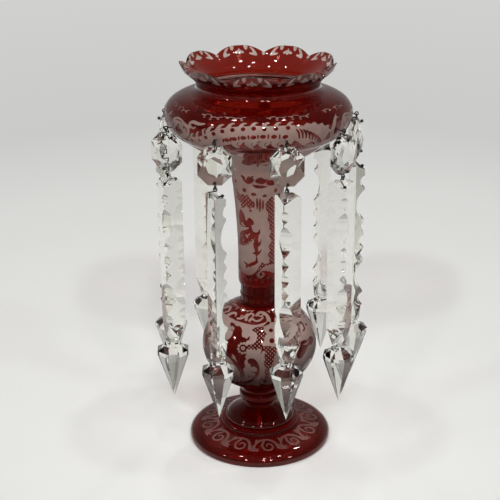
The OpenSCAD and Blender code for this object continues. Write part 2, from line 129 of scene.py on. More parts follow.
def bowl_inside():
    """The inside of the bowl from its rim to the floor, and the hollow under the floor."""
    floor_r, floor_z, under_z, neck_z = 33.1, 252.5, 249.3, 308
    wall = np.interp([p[1] for p in BOWL], [neck_z, RIM_Z], [WALL, LIP])
    walls = [p for p in inset(BOWL, wall)[1:-1] if p[1] > floor_z + 0.5]
    edge = [[RIM_R, RIM_Z], [RIM_R - .7 * LIP, RIM_Z], [RIM_R - LIP, RIM_Z - .5]]
    floor = [[floor_r, floor_z], [0, floor_z], [0, under_z], [BOWL_BORE, under_z], [BOWL_BORE, STEM_TOP]]
    return edge + walls[::-1] + floor


def finer(points, zones):
    """The same line with its steps split; zones are (distance along it, longest step up to there)."""
    out, along = [points[0]], 0.0
    for a, b in zip(points, points[1:]):
        length = math.dist(a, b)
        step = next(s for end, s in zones if along + length / 2 <= end)
        parts = max(1, math.ceil(length / step))
        out += [[a[k] + (b[k] - a[k]) * i / parts for k in (0, 1)] for i in range(1, parts + 1)]
        along += length
    return out


def distances(points):
    """How far along a line each of its points lies."""
    return np.concatenate([[0], np.cumsum(np.linalg.norm(np.diff(points, axis=0), axis=1))])


# Engraving: a signed distance in mm, above 0 where the glass is frosted

NO_STEP = 1e-9


def smooth(points, closed=False, steps=6):
    """A Catmull-Rom line through the points."""
    p = np.array(points, float)
    if len(p) < 3:
        return p
    ends = (p[-1:], p[:2]) if closed else (2 * p[:1] - p[1:2], 2 * p[-1:] - p[-2:-1])
    q = np.vstack([ends[0], p, ends[1]])
    t = np.linspace(0, 1, steps, endpoint=False)[:, None]
    spans = [0.5 * (2 * b + (c - a) * t + (2 * a - 5 * b + 4 * c - d) * t ** 2 + (3 * b - a - 3 * c + d) * t ** 3)
             for a, b, c, d in zip(q, q[1:], q[2:], q[3:])]
    return np.vstack(spans + ([] if closed else [p[-1:]]))


def along_line(x, y, line, half):
    """How far inside a line of changing half width each point lies."""
    a, b = line[:-1], line[1:]
    step = b - a
    size = np.maximum(np.sum(step * step, axis=1), NO_STEP)
    px, py = x[:, None] - a[:, 0], y[:, None] - a[:, 1]
    t = np.clip((px * step[:, 0] + py * step[:, 1]) / size, 0, 1)
    gap = np.hypot(px - t * step[:, 0], py - t * step[:, 1])
    return np.max(half[:-1] + t * np.diff(half) - gap, axis=1)


def in_outline(x, y, line):
    """How far inside a closed outline each point lies, below 0 outside it."""
    ring = np.vstack([line, line[:1]])
    edge = -along_line(x, y, ring, np.zeros(len(ring)))
    a, b = ring[:-1], ring[1:]
    spans = (a[:, 1] > y[:, None]) != (b[:, 1] > y[:, None])
    rise = np.where(b[:, 1] == a[:, 1], NO_STEP, b[:, 1] - a[:, 1])
    cross = a[:, 0] + (y[:, None] - a[:, 1]) / rise * (b[:, 0] - a[:, 0])
    inside = np.sum(spans & (x[:, None] < cross), axis=1) % 2 == 1
    return np.where(inside, edge, -edge)


def stroke(points, *widths):
    """A brush line through the points; widths are spread along it."""
    line = smooth(points)
    count = max(2, len(widths))
    half = np.interp(np.linspace(0, 1, len(line)), np.linspace(0, 1, count), np.resize(widths, count)) / 2
    return line, lambda x, y, path: along_line(x, y, path, half)


def patch(points):
    """A filled shape with a smooth outline through the points."""
    return smooth(points, closed=True), in_outline


def lattice(points, pitch, line):
    """Crossed slanting lines inside an outline."""
    def value(x, y, path):
        waves = [np.abs((x + side * y) / math.sqrt(2) % pitch - pitch / 2) for side in (1, -1)]
        return np.minimum(in_outline(x, y, path), line / 2 - np.minimum(*waves))
    return smooth(points, closed=True, steps=3), value


def dot(turn, along, width, height):
    """A filled oval; width and height in mm."""
    def value(x, y, path):
        mid = path.mean(axis=0)
        return (1 - np.hypot((x - mid[0]) / width * 2, (y - mid[1]) / height * 2)) * min(width, height) / 2
    return np.array([[turn, along]]), value


def loops(start, end, base, count, lift):
    """Points of a line that runs from one turn to another in small loops of changing size."""
    points_each, overlap = 14, 2.3
    t = np.linspace(0, 1, points_each * count)
    wave = 2 * math.pi * count * t
    turn = start + (end - start) * (t + overlap / (2 * math.pi * count) * np.sin(wave))
    size = lift * (0.85 + 0.35 * np.sin(0.29 * wave + start))
    return list(zip(turn, base + size * np.cos(wave) + 0.4 * lift * np.sin(0.37 * wave)))


class Engraving:
    """The ornament on one piece, drawn step by step over the rows of its outline."""
    REACH = 4.0
    REPEATS = 3

    def __init__(self, turns, along, radius):
        self.along, self.radius = along, radius
        self.turn_grid, self.along_grid = (g.ravel() for g in np.meshgrid(turns, along))
        self.radius_grid = np.repeat(radius, len(turns))
        self.value = np.full(self.turn_grid.shape, -self.REACH)

    def draw(self, shape, frosted, copies):
        """Adds a shape as frosting, or takes it out of the frosting, in evenly turned copies."""
        line, value = shape
        middle = line[:, 0].mean()
        local = np.stack([np.radians(line[:, 0] - middle) * np.interp(line[:, 1], self.along, self.radius),
                          line[:, 1]], 1)
        low, high = local.min(axis=0) - self.REACH, local.max(axis=0) + self.REACH
        rows = (self.along_grid > low[1]) & (self.along_grid < high[1])
        for copy in range(copies):
            turn = (self.turn_grid - middle - copy * 360 / copies + 180) % 360 - 180
            x = np.radians(turn) * self.radius_grid
            near = rows & (x > low[0]) & (x < high[0])
            depth = np.maximum(value(x[near], self.along_grid[near], local), -self.REACH)
            old = self.value[near]
            self.value[near] = np.maximum(old, depth) if frosted else np.minimum(old, -depth)

    def draw_all(self, shapes, frosted=True, copies=REPEATS):
        """Draws shapes one after the other."""
        for shape in shapes:
            self.draw(shape, frosted, copies)

    def band(self, low, high):
        """Frosts the glass all round between two distances along the outline."""
        depth = np.clip(np.minimum(self.along_grid - low, high - self.along_grid), -self.REACH, self.REACH)
        self.value = np.maximum(self.value, depth)


def engrave_foot(art):
    """A running scroll with an acanthus leaf at each turn."""
    scroll = [
        stroke([(-8, 19.5), (-5, 25.9), (-.3, 30.3), (6.9, 31.8), (14, 30.4), (18.2, 25.9), (19, 21.5),
                (22, 19.4)], 1, 2.1, 2.3, 2.1, 1.7),
        stroke([(5.2, 30.4), (2.8, 24.4), (5, 19), (10.4, 18.1), (13.8, 21.5), (12.2, 25.3), (8.7, 25.9),
                (7.4, 23.6)], 1.9, 1.9, 1.8, 1.5, 1.2),
        patch([(17.6, 20), (20.5, 24.6), (23, 22), (25.6, 24), (25.2, 20.8), (29.3, 20.2), (26.4, 18.4), (29, 16.8),
               (22, 16.8)]),
        patch([(-5.6, 27), (-5.8, 31), (-3.4, 32.8), (-2.6, 31), (.6, 32.6), (2, 30.4), (-2, 28)])]
    veins = [stroke([(20.5, 18.6), (23.5, 19.8), (26.4, 19.6)], .5, .3), stroke([(20, 20.4), (22, 22.4)], .5, .3)]
    leaves = 12
    art.draw_all(scroll, copies=leaves)
    art.draw_all(veins, frosted=False, copies=leaves)
    art.band(36.6, 37.1)


def stem_foliage():
    """Red leaves, lattice columns and dots of the stem."""
    return [
        dot(-33, 86.2, 3.9, 3.5), dot(-11.5, 83.6, 4.4, 2.9), dot(13, 82.2, 3.8, 2.5), dot(40, 85.5, 3.6, 3.5),
        dot(-58, 91.8, 4, 2.4), stroke([(-4, 71), (-3.6, 75), (-4, 79.8)], .8, 1.7, 1.7, 1.2),
        stroke([(2, 68.6), (2.8, 74), (2.8, 79.4)], .7, 1.8, 2, 1.2),
        stroke([(9.2, 70.6), (9.8, 74), (9.4, 78)], .8, 1.8, 1.7, 1.1), dot(-20, 69.2, 2.1, 2.1),
        lattice([(-60, 86), (-52, 83.4), (-44, 81.6), (-38, 82.6), (-30, 81.8), (-25, 83), (-20, 80), (-14, 78),
                 (-9.4, 76), (-9.4, 72.2), (-17, 72.2), (-22, 70.2), (-28, 72), (-34, 72), (-40, 70.4), (-47, 70.2),
                 (-46, 74), (-54, 76), (-60, 78)], 2.4, 1.35), stroke([(-8, 44), (-13.6, 44.6)], 1.8, .4),
        stroke([(-9, 41.2), (-16.4, 39.8)], 2.2, .4), stroke([(-9, 38), (-14, 37)], 2, .5),
        stroke([(-6, 25), (-14, 23.5), (-24, 22.2), (-34, 20.6)], 2.2, 3, 2.4, 1.2),
        stroke([(-26, 22), (-23.4, 19.4)], 1.8, .6), stroke([(-33, 21), (-38.4, 19)], 2, 1),
        stroke([(-34, 21.6), (-46, 23.6)], 1.8, .7),
        lattice([(15, 73), (19, 77), (27, 80.5), (34, 80), (38, 76), (39.5, 68), (41, 60), (43, 50), (45, 40),
                 (46, 30), (46, 21), (38, 22), (30, 23.5), (29, 28), (24, 31), (31, 34), (26, 38), (35, 42),
                 (27, 47), (33, 50), (27, 54), (28, 57), (21, 61), (24, 65), (19, 69)], 2.4, 1.35),
        patch([(-50.6, 68.9), (-40, 66.1), (-36, 61.7), (-32, 59.9), (-26, 62.7), (-18, 62), (-12.3, 59.2),
               (-15.6, 56.4), (-18.8, 56.7), (-16.4, 52.4), (-11.5, 50.8), (-2.5, 51.1), (.7, 53.9), (3.2, 50.5),
               (-.9, 47.4), (-1.7, 43.6), (1.5, 42), (6.4, 45.5), (4.8, 40.5), (-1.7, 38), (-2.5, 36.1),
               (-.1, 33.9), (6.4, 36.4), (4.8, 33.6), (-1.7, 31.1), (-5, 29.9), (-3.3, 26.7), (-5, 24.9),
               (-10.7, 22.7), (-19.6, 21.1), (-26.1, 20.5), (-32.7, 19.2), (-37.5, 18.3), (-35.9, 20.5),
               (-45.7, 23), (-42.4, 23.6), (-26.1, 22.1), (-21.3, 24.2), (-11.5, 25.5), (-8.2, 28.3), (-9.9, 31.1),
               (-18.8, 32.4), (-11.5, 33.9), (-13.1, 36.8), (-14.7, 39.2), (-13.9, 42.4), (-10.7, 46.1), (-18, 43),
               (-26.1, 40.5), (-34.3, 38), (-58.7, 37.1), (-71.7, 36.4), (-72.6, 39.2), (-65, 42.4), (-60.3, 46.1),
               (-50.6, 49.9), (-35.9, 51.8), (-26.1, 54.2), (-42.4, 53.9), (-55.5, 54.9), (-57.1, 59.2),
               (-56.3, 64.2)]),
        lattice([(8.9, 25.6), (14, 23.6), (26, 23.2), (36, 24.4), (36, 21.4), (24, 21.2), (14, 20.8), (6, 18.6),
                 (-2, 16), (-9, 12), (-14, 9.6), (-10, 14.4), (-4, 18.8), (3, 22.4)], 2.2, 1.1)]


def engrave_stem(art):
    """Frosted ground with red foliage, lattice columns, dots and a leaf garland."""
    art.band(17, 99)
    bottom = [
        stroke([(26, 17.5), (20, 19.5), (10, 19), (0, 16.5), (-3, 13.5), (3, 11.8), (10, 12.2), (13, 14),
                (9, 15.3)], 3, 2.6, 2, 1.2),
        stroke([(-60, 19), (-52, 16), (-40, 15.2), (-26, 15), (-14, 17.5)], 3.4, 4.2, 4.6, 4),
        stroke([(60, 19), (52, 15), (40, 15.8), (30, 17.5)], 3, 4, 3), stroke(loops(-56, -18, 9, 3, 1.6), .36),
        stroke(loops(-14, 16, 8.4, 2, 1.8), .36), stroke(loops(20, 58, 9, 3, 1.6), .36)]
    art.draw_all(bottom)
    art.draw_all(stem_foliage(), frosted=False)
    light = [
        patch([(-37, 47.6), (-33, 48.2), (-29, 46.2), (-31, 44.8), (-35, 45.6)]),
        stroke([(-52, 57), (-44, 55.6), (-34, 55)], .5, 1.1, .3),
        stroke([(-46, 55), (-44, 56.6), (-46.4, 58)], .4, .9, .3), stroke([(-14.6, 42.6), (-19.4, 44.8)], 1.3, .4),
        stroke([(-19, 40.8), (-24, 43)], 1.3, .4), stroke([(-24.6, 39.4), (-29, 42)], 1.3, .4),
        stroke([(-31, 38), (-34.6, 40.4)], 1.2, .4), stroke([(-38, 36.8), (-41, 39.4)], 1.1, .4),
        stroke([(-24, 49.4), (-28, 47.6)], .4, .9), dot(-46, 42, 1.6, 1.2), dot(-53, 45.4, 1.4, 1.2),
        dot(9, 21.6, .9, .9), dot(4, 19.4, .9, .9)]
    art.draw_all(light)
    garland = [
        stroke([(-13, 91.6), (-5, 90.4), (6, 90), (19, 90)], .7, 2.8, 2.8, .6),
        patch([(-36, 96), (-26, 92.4), (-15, 93), (-11, 96)]),
        patch([(-7, 96.5), (-6, 94), (0, 92.9), (6, 92.4), (12, 92.8), (15.2, 94), (15.6, 96.5)]),
        patch([(15.6, 93.6), (19, 91.2), (28, 90.4), (35.4, 91.2), (30, 95.6), (21, 96)]),
        stroke([(48, 93.6), (56, 92.4), (66, 93.4)], .6, 1.8, .5)]
    art.draw_all(garland, frosted=False)


def knop_cartouche():
    """Frosted scrolls above and below the ground of the knop."""
    return [
        stroke([(-6, 93.6), (-1, 96.6), (6, 97.2), (12, 95.4), (15.5, 91.5), (15, 87), (9, 84.5),
                (2, 83.5)], 1.8, 2.8, 3, 3.2, 4, 2.8), stroke([(8, 94.4), (3, 93), (-2, 94)], 1.6, 1.4, 1.2),
        stroke([(-38, 87.8), (-32, 88.8), (-27, 91.4), (-25.6, 94.4)], 1.6, 2.4, 2, 1),
        stroke([(-33, 90), (-35, 91.4), (-31, 92)], 1, 1.2, .7),
        stroke([(-22, 88.4), (-23.5, 91.4), (-20, 94.8), (-14, 95.2), (-11, 93.4),
                (-14, 92.4)], 2.6, 2.2, 2, 1.6, .8),
        stroke([(-16, 88), (-13, 90.4), (-9, 89), (-4, 88.2), (2, 89.4), (6.4, 91.6)], 2.2, 2.4, 1.6, 2, 1.4),
        stroke([(28, 84), (34, 90), (44, 93), (52, 90), (48, 87)], 4, 3.6, 2.6, 2, 1.4),
        stroke([(60, 86), (64, 90.4), (72, 91.6), (76, 89)], 4, 3, 2, 1), stroke(loops(-50, -14, 97.6, 4, 1.1), .6),
        stroke(loops(18, 66, 97, 5, 1.2), .6),
        patch([(-31, 31), (-28, 26.6), (-20, 25.6), (-10, 27), (-2, 25.4), (4, 29), (8, 27), (14, 31)])]


def knop_foliage():
    """Red acanthus, lattice bands and dots of the knop."""
    return [
        stroke([(-41, 86.3), (-30, 86), (-20, 85.4), (-8, 85.1), (2, 86.4), (8, 88.9), (10.3, 92),
                (8.4, 93.4)], 1.4, 1.2, 1.6, 1.8, 1.4), dot(24, 87.4, 3.7, 3.1), dot(15, 79, 3.6, 3.3),
        dot(14, 70.3, 4.2, 4.2), stroke([(6, 83.2), (10, 84.6), (14, 86)], .8, 1.8, 2.8),
        lattice([(-9.5, 80.5), (-4, 82.3), (1, 83), (5.5, 82.5), (6.5, 79.5), (8.8, 76.5), (6, 73.5), (5.2, 70.5),
                 (2.4, 68.8), (4.4, 66.6), (3.4, 63.6), (.6, 64.4), (-1.6, 64.6), (-3.8, 62.4), (-5.2, 64.8),
                 (-7.2, 62.8), (-8.4, 65), (-10.4, 63.2), (-12.4, 64.6), (-13.8, 67), (-8, 67.8), (-4.5, 70),
                 (-2.6, 74), (-4, 77.5), (-8, 78.6)], 2.3, 1.25),
        stroke([(3.4, 63.6), (2.2, 61.8), (1, 60.2)], 1.4, .9, .4),
        stroke([(-15, 71.2), (-12.6, 71.2), (-10.4, 70.8)], 1.8, 1.2, .4),
        lattice([(3.5, 66), (9, 66.5), (14, 65.5), (19.5, 63.5), (20.5, 61.5), (17, 60), (14.5, 56), (13.5, 52),
                 (11, 48), (10, 43), (9.6, 38), (8, 33), (5, 30), (3.5, 34), (5.5, 39), (5, 44), (6, 48), (4, 52),
                 (5.5, 55.5), (4.5, 59), (6.5, 61.5), (3, 63.5)], 2.3, 1.2),
        patch([(-44.3, 82.1), (-39.4, 82.8), (-32.6, 81.1), (-27.1, 81.6), (-22.4, 78.3), (-21.5, 75.2),
               (-19.7, 72.9), (-17.2, 72.9), (-14.8, 71.8), (-11.7, 74.4), (-11.1, 72.4), (-14.2, 70), (-15, 68.4),
               (-13.6, 66.8), (-12.6, 64.8), (-12.9, 60), (-14.1, 57), (-12.9, 55.4), (-14.8, 52.9), (-13.8, 48.8),
               (-16, 46.2), (-15.4, 42.6), (-14.8, 39.5), (-17.2, 37), (-20.9, 36.5), (-23.1, 38), (-22.4, 40),
               (-20.3, 39.3), (-20, 41.6), (-21.6, 44.7), (-23.6, 47.7), (-27, 50.6), (-29.5, 52.9), (-34, 55),
               (-40, 56.4), (-38, 61.1), (-42, 64), (-37, 68), (-33.4, 72), (-35, 77), (-40, 79)]),
        patch([(-11.1, 55.4), (-7.4, 56.5), (-3.7, 55.1), (-.6, 50.8), (0, 45.7), (-1.2, 40.6), (-4.9, 35.4),
               (-9.8, 31.3), (-16, 28.3), (-23.4, 26.4), (-30.8, 26.8), (-30.8, 28.6), (-25, 28.9), (-18, 30.6),
               (-12, 33.4), (-7.6, 36.8), (-4.8, 40.4), (-4.2, 43.2), (-2.7, 44.8), (-2.4, 47.2), (-4.2, 48.9),
               (-6.2, 49.6), (-7.6, 48.4), (-8.8, 50.8), (-11.1, 52.4), (-11.7, 54.2)]),
        stroke([(-8.4, 44.3), (-6, 43.8), (-3.4, 43.4)], .7, 1.2, 1.6),
        stroke([(-7.8, 38.9), (-5.2, 37.8)], .8, 1.5), dot(-10.8, 39, 1.9, 1.9),
        stroke([(-12, 34.6), (-10.8, 32.6)], .7, 1.2), stroke([(-16.4, 33), (-16.2, 30.2)], .7, 1.2),
        stroke([(-20.6, 33), (-21, 30)], .7, 1.2), stroke([(-25, 32.4), (-25.8, 29.6)], .7, 1.2),
        stroke([(-29.4, 30.6), (-31, 28.4)], .7, 1.2), stroke([(-1, 31), (1.6, 28.4), (1.4, 25.4)], .8, 1.6, .8),
        stroke([(3, 39), (1.4, 36), (2, 33)], .5, 1.2, .6),
        patch([(39, 58), (44, 62), (52, 63.4), (60, 62), (68, 62.6), (73, 58), (66, 55.6), (58, 56.4), (52, 53),
               (45, 49.6), (40.4, 52)]), stroke([(37, 76.6), (44, 77.8), (51, 76.2), (55, 73)], .8, 1.8, 1.4, .6),
        stroke([(60, 80), (66, 76), (64, 71), (58, 70)], 1, 2.2, 1.8, .8),
        stroke([(30, 60), (34, 66), (40, 69), (47, 68)], .8, 1.8, 1.6, .6),
        patch([(50, 40), (58, 44), (66, 42.6), (70, 38), (62, 35), (54, 35.6)]),
        stroke([(28, 42), (34, 46), (42, 44), (46, 38)], 1, 2.2, 1.8, .8),
        stroke([(20, 52), (24, 56), (29, 54)], .8, 1.6, .8), dot(33, 80.6, 3, 2.6), dot(72, 72, 3, 2.8),
        dot(31, 51, 2.6, 2.6)]


def engrave_knop(art):
    """Frosted scrollwork with red acanthus, lattice bands and dots, under a boat shaped cartouche."""
    art.band(29, 86)
    art.draw_all(knop_cartouche())
    art.draw_all(knop_foliage(), frosted=False)
    petals = np.radians(np.arange(50, 360, 36))
    art.draw_all([dot(-17.2 + 5.2 * math.cos(a), 64 + 4 * math.sin(a), 2.2, 2) for a in petals])
    light = [
        dot(-17.2, 64, 3.4, 3), stroke([(-28, 57.4), (-25.4, 55.4), (-22.8, 52.2)], 1, 1.5, .6),
        stroke([(-28.4, 55.2), (-25, 53.8)], .6, 1),
        patch([(-41, 77.4), (-39, 80), (-35, 79.4), (-33.4, 76.6), (-36, 73.6), (-40, 74.4)]),
        stroke([(52, 60), (58, 59.4), (64, 60.6)], .6, 1.2, .4)]
    art.draw_all(light)
    art.draw_all([stroke([(-37, 76.8), (-33, 76.4)], 1, .6), dot(-17.2, 64, 1.2, 1.1)], frosted=False)


BAND_DOTS = [(-44, 65.6), (-37.5, 67.6), (-32, 71), (-26.5, 75), (-21, 77.6), (-15, 79.2), (-8.8, 80.2),
             (-2.7, 80.8), (3.3, 80.4), (10, 80.4), (17.1, 80.4)]
BAND_TIPS = [(-29, 77.5), (-22.6, 80), (-16.4, 81.6), (-9.4, 82.2), (-2.6, 82.8), (4.2, 82.6), (11, 82.4),
             (18.6, 82)]
BAND_BLOCKS = [(-18.4, 71.2), (-14, 72.5), (-8.7, 73.7), (-2.9, 74.3), (2.5, 74.7), (8.8, 74.5), (15.4, 73.9)]
BAND_DASHES = [(-20.7, 70.4), (-16.1, 71.9), (-11.3, 73.2), (-5.7, 74.1), (-.3, 74.6), (5.6, 74.7), (12, 74.3)]
COMB = [(23.5, 75.2), (25.8, 75), (28.1, 74.4), (30.4, 73.4), (32.7, 72), (35, 70.3), (37.2, 68.3), (39.3, 66),
        (41.2, 63.4)]
LOBES = (-13, -4.6, 3, 10.6, 17)


def engrave_belly(art):
    """A garland band with flames, dots and blocks, a shell with a comb of stripes, and leaf scrolls."""
    band = patch([(-48, 66), (-44, 68.4), (-37, 70.8), (-32, 74), (-26.5, 77.6), (-20.5, 80), (-15, 81.4),
                  (-9, 82.2), (-2.5, 82.8), (3.5, 82.6), (10.5, 82.4), (17.5, 82.2), (22, 81), (22, 71), (14, 70.2),
                  (8, 70.4), (0, 71), (-8, 70.4), (-15, 68.4), (-22, 65.4), (-30, 64), (-38, 62), (-46, 61.6)])
    shell = patch([(19.5, 76), (22, 80), (24.6, 81.2), (27, 80.8), (29.4, 82.4), (32.2, 81.2), (34.8, 82.2),
                   (37, 79.8), (40, 80.4), (41.6, 77.8), (45, 77.8), (45, 75), (47, 73), (45, 70.5), (43.5, 66),
                   (41.6, 60.6), (34, 60), (28, 64), (23, 69), (20, 71)])
    scrolls = [
        stroke([(54, 83), (51.4, 80), (49.6, 76), (48.6, 71.4), (50, 67), (54, 63),
                (60, 61)], 1, 3, 4, 4.6, 4.4, 3, 1.6), stroke([(51.6, 80), (53.6, 81.4), (55.4, 80.6)], 1.4, 1, .5),
        patch([(58, 76), (60, 80), (64, 81.6), (68, 80.8), (72, 79), (76, 77), (75, 71), (71, 66), (65, 64.6),
               (60, 67), (57, 71)]),
        stroke([(-43.4, 77.4), (-44, 79.6), (-41.4, 81.2), (-37, 80.6), (-33, 81.4)], 2.4, 2.2, 2.6, 2.4, 1.2),
        stroke([(-43.4, 77.2), (-40.6, 76.6), (-39.2, 78)], 1.8, 1.4, .8),
        stroke([(-38.6, 70.6), (-38, 73.4), (-36.6, 75)], 2.4, 1.6, .5),
        stroke([(-33.4, 73.8), (-33.6, 76.4), (-32, 78)], 2.2, 1.6, .5),
        stroke([(-43.8, 68.6), (-42.6, 71.4), (-41, 72.4)], 2.2, 1.4, .5)]
    tips = [stroke([(turn - 1.6, along - 2), (turn - .4, along + .8), (turn + 1, along + 2.4),
                    (turn + 2.6, along + 2.2)], 3.4, 2.6, 1.4, .3) for turn, along in BAND_TIPS]
    lobes = [patch([(turn - 3.2, 70), (turn - 2.6, 67), (turn - .4, 64.6), (turn + 2, 64.8), (turn + 1.2, 66.6),
                    (turn + 3, 68), (turn + 3.4, 71)]) for turn in LOBES]
    art.draw_all([band, shell] + scrolls + tips + lobes)
    comb = [stroke([(turn - 1.7, along + 3.8), (turn - .1, along + 1), (turn + .5, along - 3.4)], .8, 1.9, 1.3)
            for turn, along in COMB]
    dots = [dot(turn, along, 3.5, 3.1) for turn, along in BAND_DOTS]
    blocks = [dot(turn, along, 4.5, 3.1) for turn, along in BAND_BLOCKS]
    dashes = [stroke([(turn, along - 1.2), (turn, along + 1.2)], 1.3) for turn, along in BAND_DASHES]
    veins = [stroke([(turn + 1.4, 70), (turn + .4, 68), (turn + 1, 66.2)], .5, .7, .4) for turn in LOBES[:-1]]
    leaf = [
        patch([(61, 70), (62.6, 74), (66.4, 77.4), (66.6, 73.6), (69.4, 71), (65, 68.4)]), dot(71, 75.4, 2.2, 2.4),
        dot(59.8, 75, 1.8, 2.4), stroke([(62, 79), (66, 79.4), (69.6, 78)], .4, 1, .4),
        stroke([(70.6, 76.6), (73.4, 74), (73, 71)], .5, 1.2, .5),
        stroke([(30, 63.4), (33, 66), (36, 63.4), (34, 61.6)], 1, 1.8, 1.4, .8)]
    art.draw_all(dots + blocks + dashes + comb + veins + leaf, frosted=False)


def engrave_cone(art):
    """A frosted cone with red leaves, under a plain ring."""
    art.band(-4, 53.6)
    leaf = [
        patch([(-20, 60), (-17, 52), (-11.4, 45), (-17, 32), (-11, 27.4), (-5, 30.6), (3, 33), (10, 38), (9.4, 50),
               (8, 60)]), patch([(46, 58), (50, 46), (48, 36), (54, 30), (60, 36), (58, 46), (62, 58)])]
    small = [
        stroke([(-2, 34), (1, 29.6), (9, 29), (12, 31)], .8, 1.8, 1.4),
        stroke([(-1.6, 29), (-.8, 26.6), (-1, 24)], 1.6, 2, .6),
        stroke([(6, 28.6), (8, 26.4), (9, 25)], 1.4, 1.8, .6),
        patch([(-27, -1.5), (-25, 1.6), (-21, 3.6), (-17, 3.4), (-13, 4.8), (-9.6, 4), (-12, 2.2), (-9, .6),
               (-8, -1.5)]), patch([(-38.5, 2.8), (-35, 4.4), (-31, 3.2), (-28, 1), (-31, -.4), (-35, .6)]),
        patch([(-6.6, -1.5), (-4, 1.6), (0, 2.4), (4, 3.2), (7, 2.2), (12, 1.2), (19, .6), (21, -1.5)]),
        stroke([(-44, 5.6), (-38, 7.6), (-34, 11)], 1.6, 2.4, .6),
        stroke([(-44, 9.6), (-39, 12), (-35, 15)], 1.4, 2, .5)]
    art.draw_all(leaf + small, frosted=False)


def engrave_neck(art):
    """Thin curls on the shoulder, and a bud between leaves on each scallop, with a dot under each notch."""
    curls = [
        stroke(loops(-38, -23, 87.6, 3, 1.7), .48), stroke(loops(-22, -8, 88.4, 3, 1.3), .48),
        stroke(loops(5, 18, 88.8, 3, 1.3), .48), stroke(loops(19, 34, 88, 3, 1.7), .48),
        stroke(loops(45, 54, 88.8, 2, 1.3), .48), stroke(loops(57, 70, 88, 3, 1.5), .48)]
    art.draw_all(curls)
    middle = FIRST_DROP - 20
    bud = [(0, 132.4), (1, 130.8), (3.9, 129), (2.8, 127.3), (1.4, 127.7), (0, 126.2), (-1.4, 127.7), (-2.8, 127.3),
           (-3.9, 129), (-1, 130.8)]
    tab = [(4.3, 135), (6.8, 135), (6.9, 132.4), (5.6, 130.8), (4.3, 132.2)]
    comma = [(8.4, 133.8), (11, 133.6), (13.4, 131), (14.6, 128.2), (13.8, 126.6), (11, 126.4), (8.2, 127.2),
             (8.6, 128.8), (10.8, 129.2), (10.4, 131.2)]
    leaves = [[(side * t, a) for t, a in half] for half in (tab, comma) for side in (1, -1)]
    art.draw_all([patch([(middle + t, a) for t, a in shape]) for shape in [bud] + leaves], copies=DROPS)
    art.draw_all([dot(FIRST_DROP, 132.4, 3.2, 3.2)], copies=DROPS)


def engrave_bowl(art):
    """All the ornament of the bowl."""
    engrave_cone(art)
    engrave_belly(art)
    engrave_neck(art)


# Glass body

def rim_height(r, turn):
    """Height of the scalloped rim at a radius and a turn from a notch."""
    half = RIM_R * math.sin(math.pi / DROPS)
    arc = (half ** 2 + RIM_NOTCH ** 2) / (2 * RIM_NOTCH)
    x = np.abs(r * np.sin(turn))
    drop = np.sqrt(arc ** 2 - np.clip(half - x, 0, half) ** 2)
    return np.minimum(RIM_Z, RIM_Z + 0.3 - arc + drop)


def scallop(points, turns):
    """Lowers the lip towards the notches of the rim; points are [radius, height], one for each turn."""
    low, neck = 312.0, 308.2
    pitch = 2 * math.pi / DROPS
    from_notch = (np.radians(turns - FIRST_DROP) + pitch / 2) % pitch - pitch / 2
    r, z = points[..., 0], points[..., 1]
    share = (rim_height(r, from_notch) - low) / (RIM_Z - low)
    lowered = np.where(z > low, low + (z - low) * share, z)
    lip = np.array([p for p in BOWL if p[1] > neck])
    shift = np.interp(lowered, lip[:, 1], lip[:, 0]) - np.interp(z, lip[:, 1], lip[:, 0])
    return np.stack([r + np.where(z > low, shift, 0), lowered], -1)


def join_runs(runs):
    """One outline from runs of (material index, points), and the material index of each of its steps."""
    outline, kinds = [runs[0][1][0]], []
    for kind, points in runs:
        outline += points[1:]
        kinds += [kind] * (len(points) - 1)
    if math.dist(outline[0], outline[-1]) < TINY:
        outline.pop()
    return np.array(outline, float), kinds


def turn_outline(outline, turns, shape):
    """The points of a turned outline, and for each row its first index and whether it is a ring, not a pole."""
    rows, points, total = [], [], 0
    for r, z in outline:
        is_ring = r > TINY
        rows.append((total, is_ring))
        here = turns if is_ring else turns[:1]
        ring = np.repeat([[r, z]], len(here), axis=0)
        ring = shape(ring, here) if shape else ring
        a = np.radians(here)
        points.append(np.stack([ring[:, 0] * np.sin(a), -ring[:, 0] * np.cos(a), ring[:, 1]], 1))
        total += len(ring)
    return rows, np.vstack(points)


def ring_faces(first, second, segments):
    """Faces between two rows of a turned outline; a row of one point is a pole."""
    j = np.arange(segments)
    k = (j + 1) % segments
    if first[1] and second[1]:
        return np.stack([first[0] + j, first[0] + k, second[0] + k, second[0] + j], 1)
    if first[1]:
        return np.stack([first[0] + j, first[0] + k, np.full(segments, second[0])], 1)
    if second[1]:
        return np.stack([np.full(segments, first[0]), second[0] + k, second[0] + j], 1)
    return np.empty((0, 3), int)


def turned_faces(rows, kinds, along, segments):
    """The faces of a turned outline, with their material indices and the corners of their UV map."""
    faces, indices, maps = [], [], []
    share = np.arange(segments + 1) / segments
    corner_u = np.stack([share[:-1], share[1:], share[1:], share[:-1]], 1)
    for i, kind in enumerate(kinds):
        block = ring_faces(rows[i], rows[(i + 1) % len(rows)], segments)
        if not len(block):
            continue
        low, high = along[i] / along[-1], along[min(i + 1, len(along) - 1)] / along[-1]
        corner_v = np.repeat([[low, low, high, high]], segments, axis=0)
        keep = [0, 1, 2, 3] if block.shape[1] == 4 else [0, 1, 2] if rows[i][1] else [0, 2, 3]
        faces += block.tolist()
        indices += [kind] * len(block)
        maps.append(np.stack([corner_u[:, keep], corner_v[:, keep]], -1).reshape(-1, 2))
    return faces, indices, np.vstack(maps)


